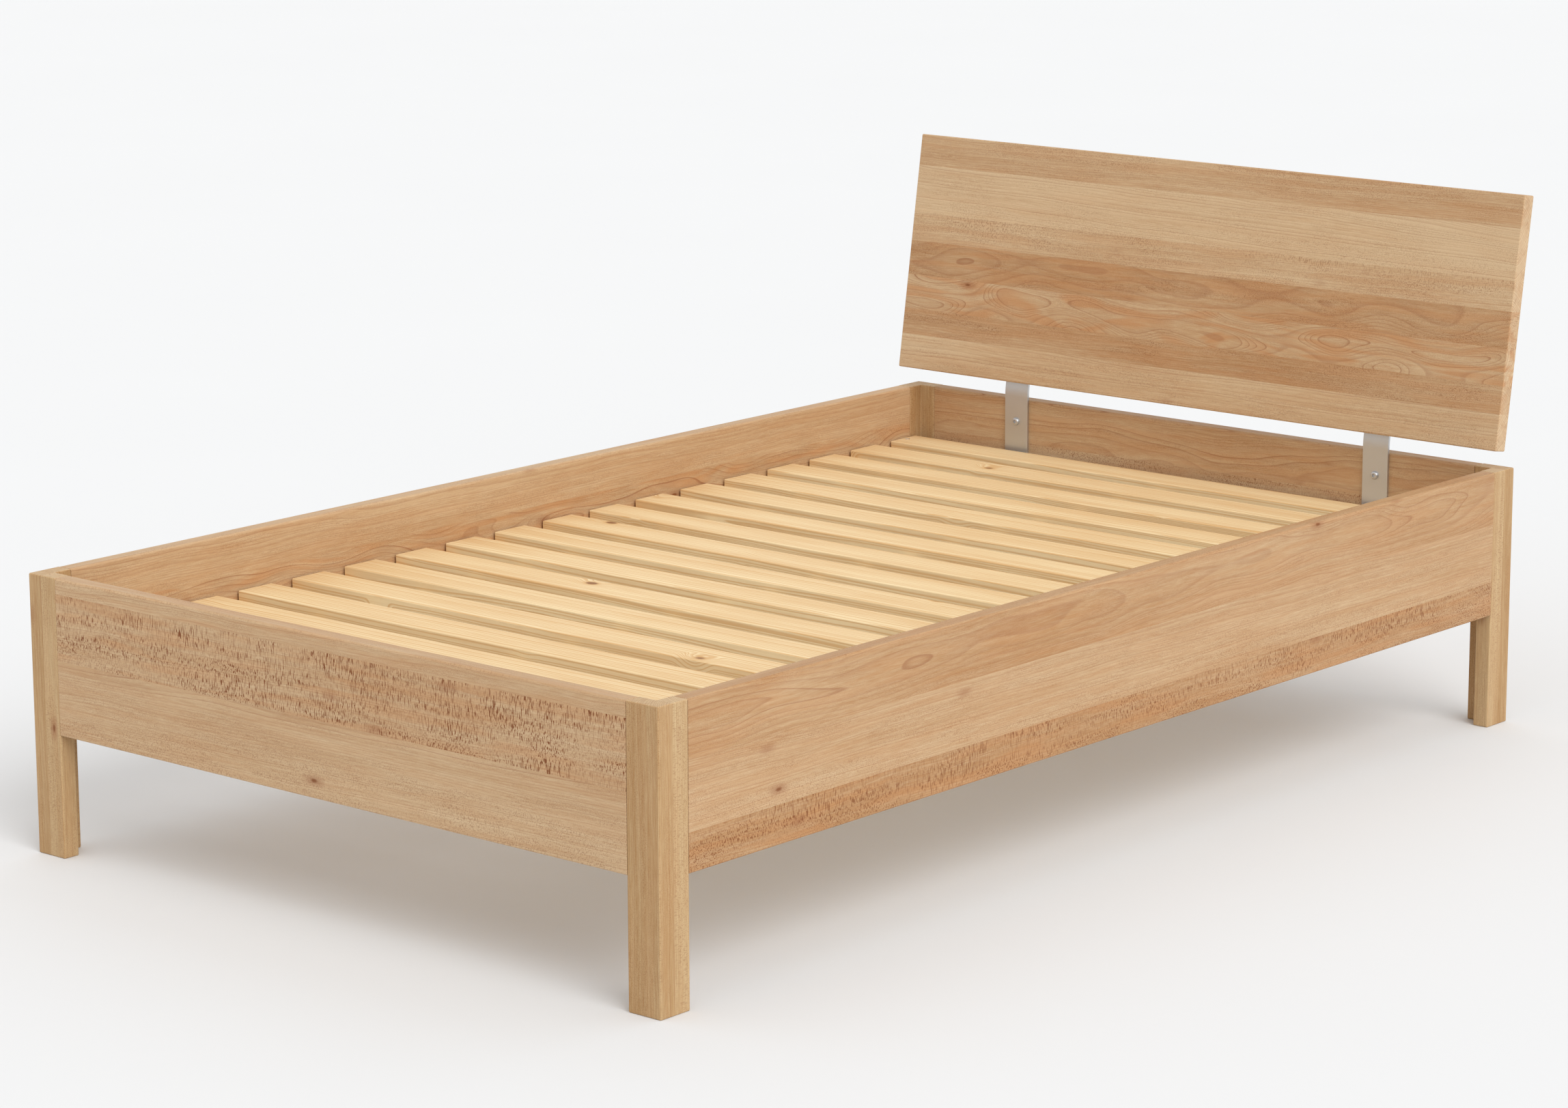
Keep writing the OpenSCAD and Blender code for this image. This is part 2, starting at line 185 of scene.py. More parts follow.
class BedHardware(PropertyGroup):
    """Steel pieces"""

    zinc: colour_property("Zinc", "Bright zinc plate", "#c3c7c9")
    roughness: FloatProperty(
        name="Roughness",
        description="Roughness of the zinc plate",
        subtype="FACTOR",
        min=0,
        max=1,
        default=0.34,
    )
    bar_corner: length_property("Bar's corners", "Rounding of the flat bars' ends", 6.0)
    steel_edge: length_property("Steel edges", "Rounding of the steel pieces' edges", 0.5)
    angle_sheet: length_property("Angles' sheet", "Thickness of the corners' steel angles", 3.0)


class BedStudio(PropertyGroup):
    """Floor, light and camera"""

    azimuth: angle_property("Azimuth", "Turn of the camera round the bed", 40.75)
    elevation: angle_property("Elevation", "Camera's angle above the horizon", 12.33)
    roll: angle_property("Roll", "Camera's roll", -0.18)
    distance: length_property("Distance", "From the camera to the point that it looks at", 7000)
    aim: FloatVectorProperty(
        name="Aim",
        description="Point that the camera looks at",
        subtype="XYZ",
        size=3,
        default=(0.1114, -0.2083, 0.4191),
    )
    lens: FloatProperty(
        name="Lens", description="Focal length for a 36 mm wide sensor", min=10, default=105.95
    )
    floor: colour_property("Floor", "Plain pale floor", "#e3e4e5")
    sky: FloatProperty(
        name="Ambient", description="Strength of the even light from all round", min=0, default=0.89
    )
    key: FloatProperty(
        name="Key", description="Strength of the soft light on the bed's right", min=0, default=1.68
    )
    spread: angle_property("Spread", "Width of the key light in the sky", 40)


# ---------------------------------------------------------------- nodes and materials

# Short names of the nodes that the trees use most: Blender's name of each, and its settings
NODES = {
    "times": ("ShaderNodeMath", {"operation": "MULTIPLY"}),
    "times_plus": ("ShaderNodeMath", {"operation": "MULTIPLY_ADD"}),
    "minus": ("ShaderNodeMath", {"operation": "SUBTRACT"}),
    "fraction": ("ShaderNodeMath", {"operation": "FRACT"}),
    "whole": ("ShaderNodeMath", {"operation": "FLOOR"}),
    "direction": ("ShaderNodeMath", {"operation": "ARCTAN2"}),
    "sine": ("ShaderNodeMath", {"operation": "SINE"}),
    "move": ("ShaderNodeVectorMath", {"operation": "ADD"}),
    "offset": ("ShaderNodeVectorMath", {"operation": "SUBTRACT"}),
    "stretch": ("ShaderNodeVectorMath", {"operation": "MULTIPLY"}),
    "scale": ("ShaderNodeVectorMath", {"operation": "SCALE"}),
    "length": ("ShaderNodeVectorMath", {"operation": "LENGTH"}),
    "split": ("ShaderNodeSeparateXYZ", {}),
    "join": ("ShaderNodeCombineXYZ", {}),
    "band": ("ShaderNodeMapRange", {"interpolation_type": "SMOOTHSTEP"}),
    "blend": ("ShaderNodeMix", {"data_type": "RGBA"}),
    "noise": ("ShaderNodeTexNoise", {}),
}


def put(tree, kind, inputs=(), **settings):
    """Adds a node by its short or its full name, and gives its outputs. Each input, in order or by
    its name, is a value or the socket that feeds it."""
    kind, preset = NODES.get(kind, (kind, {}))
    made = tree.nodes.new(kind)
    for name, value in {**preset, **settings}.items():
        setattr(made, name, value)
    shown = [socket for socket in made.inputs if socket.enabled]
    for key, value in inputs.items() if isinstance(inputs, dict) else enumerate(inputs):
        socket = made.inputs[key] if isinstance(key, str) else shown[key]
        if isinstance(value, NodeSocket):
            tree.links.new(value, socket)
        else:
            socket.default_value = value
    return made.outputs


def surface(tree, looks, relief, strength, depth):
    """Ends a tree with the shader of its surface and a relief of that strength and depth."""
    bump = {"Strength": strength, "Distance": depth, "Height": relief}
    looks["Normal"] = put(tree, "ShaderNodeBump", bump)[0]
    shader = put(tree, "ShaderNodeBsdfPrincipled", looks)[0]
    put(tree, "ShaderNodeOutputMaterial", {"Surface": shader})


def tint(colour, brightness=1.0):
    """A colour as a socket takes it, darker where its brightness is below 1."""
    return (*(c * brightness for c in colour), 1)


def layered(tree, colour, layers):
    """A colour under layers of (how much of each shows, its own colour), the last one on top."""
    for share, over in layers:
        colour = put(tree, "blend", (share, colour, tint(over)))["Result"]
    return colour


def total(tree, start, parts):
    """A number with parts of (another number, how much of it) added."""
    for part, share in parts:
        start = put(tree, "times_plus", (part, share, start))[0]
    return start


def ridge(tree, value, rise, fall):
    """1 where a value lies between its rise and its fall, each (start, end), and else 0."""
    up = put(tree, "band", (value, *rise))[0]
    down = put(tree, "band", (value, *fall, 1.0, 0.0))[0]
    return put(tree, "times", (up, down))[0]


def stretched_noise(tree, place, sizes, detail=2.0, output=0):
    """Noise whose grain is sizes millimetres along each axis of a place."""
    scaled = put(tree, "stretch", (place, [1 / s for s in sizes]))[0]
    return put(tree, "noise", (scaled, 1.0, detail))[output]


def patches(tree, place, sizes, *levels):
    """Patches of simple noise, cut to levels of (low, high, value at low, value at high)."""
    return put(tree, "band", (stretched_noise(tree, place, sizes, 1.0), *levels))[0]


def grown_log(tree, waves, curls, curl=1.0):
    """(a point's place in its log, the same in the log as it grew bent), in millimetres along the
    log and twice across it. waves and curls are (their sizes, how far they reach, their detail),
    and curl is how much of the curls shows."""
    log = put(tree, "ShaderNodeAttribute", attribute_name="log")["Vector"]
    shift = put(tree, "ShaderNodeAttribute", attribute_name="log_shift")["Vector"]
    log = put(tree, "move", (log, shift))[0]
    bent = log
    for (sizes, reach, detail), share in ((waves, 1.0), (curls, curl)):
        drift = stretched_noise(tree, log, sizes, detail, "Color")
        drift = put(tree, "offset", (drift, (0.5, 0.5, 0.5)))[0]
        drift = put(tree, "stretch", (drift, (0, reach, reach)))[0]
        drift = put(tree, "scale", (drift, share))[0]
        bent = put(tree, "move", (bent, drift))[0]
    return log, bent


def year_rings(tree, bent, width):
    """(0 to 1 across each year ring, the year, the distance from the pith, the angle round it, the
    place along it) for a bent log, with years of uneven growth."""
    along, across, up = put(tree, "split", (bent,))
    flat = put(tree, "join", (0.0, across, up))[0]
    radius = put(tree, "length", (flat,))["Value"]
    uneven = put(tree, "noise", (radius, 0.045, 2.0), noise_dimensions="1D")[0]
    count = put(tree, "times", (radius, 1 / width))[0]
    count = put(tree, "times_plus", (uneven, 7.0, count))[0]
    ring = put(tree, "fraction", (count,))[0]
    year = put(tree, "whole", (count,))[0]
    angle = put(tree, "direction", (up, across))[0]
    return ring, year, radius, angle, along


def nearest_knot(tree, log, apart, drawn):
    """(millimetres to the nearest knot, a random value that the knot has) for knots about apart
    millimetres from each other along each axis, drawn longer along the first by apart / drawn."""
    cell = put(tree, "stretch", (log, [1 / a for a in apart]))[0]
    knot = {"Vector": cell, "Scale": 1.0, "Randomness": 0.9}
    knot = put(tree, "ShaderNodeTexVoronoi", knot)
    spread = put(tree, "offset", (knot["Position"], cell))[0]
    spread = put(tree, "stretch", (spread, drawn))[0]
    reach = put(tree, "length", (spread,))["Value"]
    return reach, put(tree, "split", (knot["Color"],))[0]


def finish_wood(tree, colour, fibre, roughness):
    """Satin wood: a colour, the relief of the fibres, and a roughness that varies with them."""
    rough = put(tree, "band", (fibre, 0.3, 0.7, roughness - 0.06, roughness + 0.08))[0]
    looks = {"Base Color": colour, "Roughness": rough, "Specular IOR Level": 0.22}
    surface(tree, looks, fibre, 0.22, 0.4 * MM)


def oiled_beech(tree, look, pale, deep):
    """Beech, planed, sanded and oiled: even tan wood with faint year rings, short brown flecks
    where rays are cut, a reddish tint in curly staves, a few pin knots and a soft satin shine."""
    stave = put(tree, "ShaderNodeAttribute", attribute_name="stave")
    paleness, rays, curl = put(tree, "split", (stave["Vector"],))
    end = stave["Alpha"]

    # The log's long gentle bends, and the curls that flat-sawn staves show as nested ovals
    waves = ((520, 80, 80), 16.0, 2.0)
    curls = ((170, 62, 62), 48.0, 0.3)
    share = put(tree, "band", (curl, 0.0, 1.0, 0.06, 1.0))[0]
    log, bent = grown_log(tree, waves, curls, share)
    ring, year, radius, angle, along = year_rings(tree, bent, look.ring / MM)

    # Each ring ends in a thin darker line, after a faint and wide one; some years show more, and
    # end grain shows them all more
    line = ridge(tree, ring, (0.76, 0.92), (0.94, 1.0))
    wide = ridge(tree, ring, (0.1, 0.9), (0.93, 1.0))
    strong = put(tree, "ShaderNodeTexWhiteNoise", (year,), noise_dimensions="1D")[0]
    strong = put(tree, "band", (strong, 0.0, 1.0, 0.12, 0.5))[0]
    line = put(tree, "times", (line, strong))[0]
    curly = put(tree, "band", (curl, 0.1, 1.0, 0.75, 1.2))[0]
    line = put(tree, "times", (line, curly))[0]
    late = total(tree, line, [(wide, 0.12)])
    late = put(tree, "times", (late, total(tree, 1.0, [(end, 0.6)])))[0]

    # Slow changes of tone, streaks along the grain, and fibres drawn twice as coarse as they are
    slow = stretched_noise(tree, log, (500, 60, 60), 1.0)
    streak = stretched_noise(tree, bent, (300, 7, 7))
    fibre = stretched_noise(tree, log, (24, 1.4, 1.4))
    tone = total(tree, paleness, ((slow, 0.6), (streak, 0.6), (fibre, 0.85), (end, 0.4)))
    middle = 1.025
    tone = put(tree, "minus", (tone, middle))[0]

    # Rays: a few millimetres tall, less than one thick and long towards the pith, so small brown
    # ticks in flat-sawn wood and tall flecks in quarter-sawn wood, drawn coarser than they are
    mean_radius = 105.0
    arc = put(tree, "times", (angle, mean_radius))[0]
    place = put(tree, "join", (along, arc, radius))[0]
    fleck = patches(tree, place, (1.4, 0.85, 11.0), 0.555, 0.595)
    crowd = patches(tree, log, (120, 26, 26), 0.36, 0.6, 0.35, 1.0)
    fleck = put(tree, "times", (fleck, crowd))[0]
    tick = patches(tree, place, (1.1, 0.8, 4.5), 0.52, 0.64)
    fleck = total(tree, fleck, [(tick, 0.2)])
    fleck = put(tree, "times", (fleck, rays))[0]

    blush = patches(tree, bent, (200, 14, 14), 0.4, 0.65)
    steamed = total(tree, 0.0, ((curl, 0.55), (rays, 0.25)))
    blush = put(tree, "times", (blush, steamed))[0]
    blush = total(tree, blush, [(end, 0.05)])

    # A few pin knots, each with a reddish halo that is drawn out along the grain
    reach, _ = nearest_knot(tree, log, (300, 62, 62), (130, 62, 62))
    halo = put(tree, "band", (reach, 2.5, 12.0, 0.45, 0.0))[0]
    heart = put(tree, "band", (reach, 1.5, 4.0, 0.9, 0.0))[0]

    layers = (
        (tone, pale),
        (blush, look.blush),
        (late, look.late),
        (fleck, look.ray),
        (halo, look.late),
        (heart, look.ray),
    )
    finish_wood(tree, layered(tree, tint(deep), layers), fibre, 0.5)


def planed_spruce(tree, look):
    """Spruce, planed and left bare: pale yellow with strong orange late wood and brown knots."""
    log, bent = grown_log(tree, ((500, 60, 60), 14.0, 2.0), ((160, 30, 30), 3.0, 2.0))

    # One place in five grew a knot, and the rings bend round it
    reach, chance = nearest_knot(tree, log, (330, 62, 62), (230, 62, 62))
    grown = put(tree, "band", (chance, 0.76, 0.8))[0]
    push = put(tree, "band", (reach, 6.0, 34.0, 14.0, 0.0))[0]
    push = put(tree, "times", (push, grown))[0]
    push = put(tree, "join", (0.0, push, push))[0]
    bent = put(tree, "move", (bent, push))[0]
    ring = year_rings(tree, bent, look.spruce_ring / MM)[0]

    late = put(tree, "times", (ridge(tree, ring, (0.2, 0.86), (0.9, 1.0)), 0.62))[0]
    fibre = stretched_noise(tree, log, (60, 1.5, 1.5), 3.0)
    slow = stretched_noise(tree, log, (300, 40, 40))
    shade = put(tree, "band", (total(tree, slow, [(fibre, 0.6)]), 0.5, 1.15, 0.0, 0.4))[0]
    layers = [(late, look.spruce_late), (shade, look.spruce_late)]
    for edge, over in (((8.0, 15.0, 0.5), look.spruce_late), ((5.0, 9.5, 0.85), look.knot)):
        mark = put(tree, "band", (reach, *edge, 0.0))[0]
        layers.append((put(tree, "times", (mark, grown))[0], over))
    finish_wood(tree, layered(tree, tint(look.spruce), layers), fibre, 0.58)


def woven_cotton(tree, look):
    """Cotton webbing, woven in twill and unbleached: matt threads that cross in slanting rows, with
    painted shade in the low places between the threads.
    """
    place = put(tree, "ShaderNodeUVMap", uv_map="weave")[0]
    across, along, _ = put(tree, "split", (place,))
    turns = tau / (look.thread / MM)
    warp = put(tree, "times", (across, turns))[0]
    weft = total(tree, 0.0, ((along, turns * 0.8), (across, turns * 0.5)))
    warp, weft = (put(tree, "sine", (wave,))[0] for wave in (warp, weft))
    height = total(tree, 0.0, ((warp, 0.5), (weft, 0.5)))
    fluff = stretched_noise(tree, place, (1.2, 3.0, 1.0), 3.0)
    # Painted shade: the colour falls to 0.55 of the cotton where the weave lies low, in the hollows
    # between the threads, with random fluff tone on top
    shade = put(tree, "band", (total(tree, height, [(fluff, 0.8)]), -0.6, 1.3, 0.62, 1.0))[0]
    colour = layered(tree, tint(look.cotton, 0.55), [(shade, look.cotton)])
    looks = {"Base Color": colour, "Roughness": 0.92, "Sheen Weight": 0.25, "Sheen Roughness": 0.5}
    surface(tree, looks, height, 0.6, 0.4 * MM)


def zinc_plate(tree, look, brightness):
    """Steel with bright zinc plate: a cool grey metal with faint clouds and fine rolling marks."""
    place = put(tree, "ShaderNodeTexCoord")["Object"]
    place = put(tree, "scale", (place, 1 / MM))[0]
    cloud = stretched_noise(tree, place, (14, 14, 14), 3.0)
    marks = stretched_noise(tree, place, (0.9, 0.9, 16), 2.0)
    zinc = [c * brightness for c in look.zinc]
    bright = put(tree, "band", (cloud, 0.3, 0.7))[0]
    colour = layered(tree, tint(zinc, 0.72), [(bright, zinc)])
    low, high = look.roughness - 0.08, look.roughness + 0.12
    rough = put(tree, "band", (total(tree, cloud, [(marks, 0.5)]), 0.45, 1.05, low, high))[0]
    looks = {"Base Color": colour, "Metallic": 1.0, "Roughness": rough}
    surface(tree, looks, marks, 0.08, 0.2 * MM)


def studio_floor(tree, look):
    """Matt painted board, the studio's pale floor, with a trace of mottling."""
    place = put(tree, "ShaderNodeTexCoord")["Object"]
    mottle = stretched_noise(tree, place, (0.8, 0.8, 0.8))
    colour = layered(tree, tint(look.floor, 0.985), [(mottle, look.floor)])
    looks = {"Base Color": colour, "Roughness": 0.85}
    shader = put(tree, "ShaderNodeBsdfPrincipled", looks)[0]
    put(tree, "ShaderNodeOutputMaterial", {"Surface": shader})


def material_of(name):
    """The material of that name, made on its first use."""
    made = bpy.data.materials.get(name)
    if made is None:
        made = bpy.data.materials.new(name)
        made.use_nodes = True
        made.node_tree.nodes.clear()
        scene = bpy.context.scene
        wood, steel = scene.bed_wood, scene.bed_hardware
        build, *values = {
            "oiled_beech_boards": (oiled_beech, wood, wood.pale, wood.deep),
            "oiled_beech_posts": (oiled_beech, wood, wood.post_pale, wood.post_deep),
            "planed_spruce": (planed_spruce, wood),
            "woven_cotton": (woven_cotton, scene.bed_slats),
            "zinc_plated_steel": (zinc_plate, steel, 1.0),
            "zinc_plated_fasteners": (zinc_plate, steel, 0.92),
            "studio_floor": (studio_floor, scene.bed_studio),
        }[name]
        build(made.node_tree, *values)
    return made


# ---------------------------------------------------------------- shapes


def ring_of(corners, inset, steps):
    """Points round an anticlockwise outline of (x, y, radius) corners, drawn in by inset."""
    points = []
    for i, (x, y, radius) in enumerate(corners):
        here = Vector((x, y))
        before = (here - Vector(corners[i - 1][:2])).normalized()
        after = (Vector(corners[(i + 1) % len(corners)][:2]) - here).normalized()
        into = Vector((-before.y, before.x))
        out = Vector((-after.y, after.x))
        here = here + inset * (into + out) / (1 + into.dot(out))
        turn = atan2(before.cross(after), before.dot(after))
        bulge = copysign(1, turn)
        size = max(radius - bulge * inset, radius * 0.05)
        start = here - before * size * abs(tan(turn / 2))
        middle = start + into * bulge * size
        for k in range(steps + 1):
            arm = Matrix.Rotation(turn * k / steps, 2) @ (-into * bulge * size)
            points.append(middle + arm)
    return points


def box_corners(width, height, low, high):
    """Corners of a rectangle from the origin, with its lower and its upper edges rounded."""
    return [(0, 0, low), (width, 0, low), (width, height, high), (0, height, high)]


def loft(rings):
    """A mesh through rings of points, with its two ends capped."""
    shape = bmesh.new()
    rows = [[shape.verts.new(p) for p in ring] for ring in rings]
    for a, b in zip(rows, rows[1:]):
        for k, (p, q) in enumerate(zip(a, a[1:] + a[:1])):
            shape.faces.new((p, q, b[(k + 1) % len(b)], b[k]))
    shape.faces.new(rows[0][::-1])
    shape.faces.new(rows[-1])
    bmesh.ops.recalc_face_normals(shape, faces=shape.faces)
    return shape


def drawn_out(corners, length, end_round, steps):
    """An outline in Y and Z drawn out along X from the origin, with rounded ends."""
    turns = [pi / 2 * k / steps for k in range(steps + 1)]
    near = [(end_round * (1 - cos(a)), end_round * (1 - sin(a))) for a in turns]
    far = [(length - along, inset) for along, inset in reversed(near)]
    rings = [(along, ring_of(corners, inset, steps)) for along, inset in near + far]
    return loft([[(along, p.x, p.y) for p in ring] for along, ring in rings])


def cut_at(shape, height):
    """Cuts a shape's faces at a height without opening them."""
    everything = shape.verts[:] + shape.edges[:] + shape.faces[:]
    place = (0, 0, height)
    bmesh.ops.bisect_plane(shape, geom=everything, plane_co=place, plane_no=Z, dist=1e-6)


def give_grain(shape, length, parts, seed):
    """Writes at each corner of a shape's faces where in its log the wood grew and what it is like.
    parts is [(lowest y, highest y, lowest z, highest z, stave)], and the grain runs along X."""
    log = shape.loops.layers.float_vector.new("log")
    looks = shape.loops.layers.float_color.new("stave")
    rng = random.Random(seed)
    grown = []
    for y0, y1, z0, z1, stave in parts:
        pith = rng.uniform(70, 140)
        sawn = radians(stave.sawn)
        side = rng.choice((-1, 1))
        away = Vector((rng.uniform(300, 9000), pith * cos(sawn), side * pith * sin(sawn)))
        lean = Euler([0, *(radians(rng.uniform(-0.9, 0.9)) for _ in range(2))])
        centre = Vector((length / 2, (y0 + y1) / 2, (z0 + z1) / 2))
        grown.append((y0, y1, z0, z1, stave, away, lean.to_matrix(), centre))
    slack = 0.1 * MM
    for face in shape.faces:
        middle = face.calc_center_median()
        for y0, y1, z0, z1, stave, away, lean, centre in grown:
            if y0 - slack <= middle.y <= y1 + slack and z0 - slack <= middle.z <= z1 + slack:
                break
        end = 1.0 if abs(face.normal.x) > 0.7 else 0.0
        for corner in face.loops:
            corner[log] = lean @ ((corner.vert.co - centre) / MM) + away
            corner[looks] = (stave.pale, stave.rays, stave.curl, end)


def placed(origin, *axes):
    """The matrix that moves a shape to an origin, with its X, Y and Z along three axes."""
    return Matrix.Translation(origin) @ Matrix(axes).transposed().to_4x4()


def to_object(shape, name, material, matrix=None):
    """An object of a shape, with its place in its mesh and its normals evened out."""
    mesh = bpy.data.meshes.new(name)
    for face in shape.faces:
        face.smooth = True
    if matrix is not None:
        shape.transform(matrix)
        if matrix.determinant() < 0:
            bmesh.ops.reverse_faces(shape, faces=shape.faces)
    shape.to_mesh(mesh)
    shape.free()
    mesh.materials.append(material_of(material))
    made = bpy.data.objects.new(name, mesh)
    bpy.context.scene.collection.objects.link(made)
    even = made.modifiers.new("Even normals", "WEIGHTED_NORMAL")
    even.keep_sharp = True
    return settle(made)


def settle(made):
    """Turns an object's modifiers into plain mesh."""
    graph = bpy.context.evaluated_depsgraph_get()
    mesh = bpy.data.meshes.new_from_object(
        made.evaluated_get(graph), preserve_all_data_layers=True, depsgraph=graph
    )
    made.modifiers.clear()
    old, made.data = made.data, mesh
    mesh.name = made.name
    bpy.data.meshes.remove(old)
    return made


def enter(piece, slot, *nodes):
    """Puts a finished piece into the frame, in place of its CAD nodes."""
    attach(piece, "root")
    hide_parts(*nodes)


def board(name, axes, origin, size, staves, seed, rounds, material="oiled_beech_boards"):
    """A board of staves stacked in its height. axes are its three directions, size is (length,
    thickness, height), and rounds is the rounding of its lower edges, upper edges and ends."""
    length, thickness, height = size
    low, high, end = rounds
    steps = bpy.context.scene.bed_edges.steps
    shape = drawn_out(box_corners(thickness, height, low, high), length, end, steps)
    parts, top = [], height
    share = height / sum(s.width for s in staves)
    for stave in staves:
        foot = top - stave.width * share
        parts.append((0, thickness, foot, top, stave))
        if foot > MM:
            cut_at(shape, foot)
        top = foot
    give_grain(shape, length, parts, seed)
    return to_object(shape, name, material, placed(origin, *axes))


# ---------------------------------------------------------------- places in the frame

Leaning = namedtuple("Leaning", "lean up back front thickness height")


def leaning_board():
    """The headboard's lean, its upward and backward directions, its lower front edge and its size,
    worked out from its box and the head rail's thickness."""
    low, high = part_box("headboard")
    rail_low, rail_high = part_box("head_rail")
    # First the box of the four rounded edges' centres, which the lean alone shapes
    rounding = bpy.context.scene.bed_edges.edge
    thickness = rail_high.y - rail_low.y - 2 * rounding
    deep = high.y - low.y - 2 * rounding
    tall = high.z - low.z - 2 * rounding
    lean = 0.0
    for _ in range(30):
        height = (tall - thickness * sin(lean)) / cos(lean)
        lean = asin((deep - thickness * cos(lean)) / height)
    up = Vector((0, sin(lean), cos(lean)))
    back = Vector((0, cos(lean), -sin(lean)))
    # The lowest centre is the back one, and the foremost is the lower front one
    centre = Vector((low.x, low.y + rounding, low.z + rounding + thickness * sin(lean)))
    front = centre - (back + up) * rounding
    return Leaning(lean, up, back, front, thickness + 2 * rounding, height + 2 * rounding)


def box_along(node, axes):
    """(the corner where the axes start, the size along each) of a node's box, for three directions
    that lie along the bed's own."""
    low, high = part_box(node)
    signs = sum(axes, Vector())
    start = Vector([b if sign < 0 else a for a, b, sign in zip(low, high, signs)])
    return start, [abs((high - low).dot(a)) for a in axes]


def slat_nodes():
    """The CAD nodes of the slats, from the foot to the head."""
    return sorted(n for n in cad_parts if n.startswith("slat_") and n[5:].isdigit())


def solids_of(node):
    """The points of each separate solid of a CAD node."""
    shape = bmesh.new()
    shape.from_mesh(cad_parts[node].data)
    bmesh.ops.remove_doubles(shape, verts=shape.verts, dist=1e-6)
    shape.verts.ensure_lookup_table()
    left, groups = set(shape.verts), []
    while left:
        first = min(left, key=lambda v: v.index)
        group, edge = {first}, [first]
        while edge:
            near = {e.other_vert(v) for v in edge for e in v.link_edges} - group
            group |= near
            edge = list(near)
        left -= group
        groups.append([v.co.copy() for v in sorted(group, key=lambda v: v.index)])
    shape.free()
    return groups


def reach_along(points, axis):
    """(the least, the greatest) place of points along an axis."""
    places = [p.dot(axis) for p in points]
    return min(places), max(places)


def length_along(points, axis):
    low, high = reach_along(points, axis)
    return high - low


def outer_end(points, facing):
    """The middle of a solid's outer end, where facing points out of the wood."""
    side = facing.orthogonal().normalized()
    middle = facing * reach_along(points, facing)[1]
    for axis in (side, facing.cross(side)):
        middle += axis * sum(reach_along(points, axis)) / 2
    return middle


# ---------------------------------------------------------------- geometry nodes


def geometry_tree(name, sockets):
    """An empty geometry tree and its inputs: the geometry, a material, and {name: socket type}."""
    tree = bpy.data.node_groups.new(name, "GeometryNodeTree")
    for label, kind in {"Geometry": "Geometry", **sockets, "Material": "Material"}.items():
        tree.interface.new_socket(label, in_out="INPUT", socket_type=f"NodeSocket{kind}")
    tree.interface.new_socket("Geometry", in_out="OUTPUT", socket_type="NodeSocketGeometry")
    return tree, put(tree, "NodeGroupInput")


def end_geometry(tree, copies, given):
    """Ends a geometry tree: makes its copies real and gives them their material."""
    whole = put(tree, "GeometryNodeRealizeInstances", {"Geometry": copies})[0]
    whole = {"Geometry": whole, "Material": given["Material"]}
    whole = put(tree, "GeometryNodeSetMaterial", whole)[0]
    put(tree, "NodeGroupOutput", {"Geometry": whole})
    return tree


def slat_row(name):
    """Lays copies of a blank in a row along Y, each cut from another part of the log."""
    sockets = {"Blank": "Object", "Count": "Int", "Pitch": "Float", "Seed": "Int"}
    tree, given = geometry_tree(name, sockets)
    step = put(tree, "join", {"Y": given["Pitch"]})[0]
    line = {"Count": given["Count"], "Offset": step}
    line = put(tree, "GeometryNodeMeshLine", line, mode="OFFSET")[0]
    blank = put(tree, "GeometryNodeObjectInfo", {"Object": given["Blank"]})["Geometry"]
    row = put(tree, "GeometryNodeInstanceOnPoints", {"Points": line, "Instance": blank})[0]
    # Millimetres along the log, up to 60 m of it, and across it
    shift = {"Min": (0, -18, 30), "Max": (60000, 18, 130), "Seed": given["Seed"]}
    shift = put(tree, "FunctionNodeRandomValue", shift, data_type="FLOAT_VECTOR")[0]
    row = {"Geometry": row, "Name": "log_shift", "Value": shift}
    as_vector = {"data_type": "FLOAT_VECTOR", "domain": "INSTANCE"}
    row = put(tree, "GeometryNodeStoreNamedAttribute", row, **as_vector)[0]
    return end_geometry(tree, row, given)


def fastener_set(name):
    """Sets a fastener at each point, along the point's facing, each turned by chance."""
    sockets = {"Fastener": "Object", "Turn": "Float", "Seed": "Int"}
    tree, given = geometry_tree(name, sockets)
    facing = {"Name": "facing"}
    facing = put(tree, "GeometryNodeInputNamedAttribute", facing, data_type="FLOAT_VECTOR")[0]
    aim = put(tree, "FunctionNodeAlignRotationToVector", {"Vector": facing}, axis="Z")[0]
    turn = {"Max": given["Turn"], "Seed": given["Seed"]}
    turn = put(tree, "FunctionNodeRandomValue", turn, data_type="FLOAT")["Value"]
    turn = put(tree, "FunctionNodeAxisAngleToRotation", {"Axis": Z, "Angle": turn})[0]
    aim = {"Rotation": aim, "Rotate By": turn}
    aim = put(tree, "FunctionNodeRotateRotation", aim, rotation_space="LOCAL")[0]
    blank = put(tree, "GeometryNodeObjectInfo", {"Object": given["Fastener"]})["Geometry"]
    row = {"Points": given["Geometry"], "Instance": blank, "Rotation": aim}
    row = put(tree, "GeometryNodeInstanceOnPoints", row)[0]
    return end_geometry(tree, row, given)


def grow(name, carrier, make_tree, values):
    """An object whose mesh a geometry tree makes from a carrier mesh, as plain mesh."""
    label = make_tree.__name__
    tree = bpy.data.node_groups.get(label) or make_tree(label)
    made = bpy.data.objects.new(name, carrier)
    bpy.context.scene.collection.objects.link(made)
    modifier = made.modifiers.new("Grow", "NODES")
    modifier.node_group = tree
    for socket in tree.interface.items_tree:
        if socket.in_out == "INPUT" and socket.name in values:
            modifier[socket.identifier] = values[socket.name]
    return settle(made)


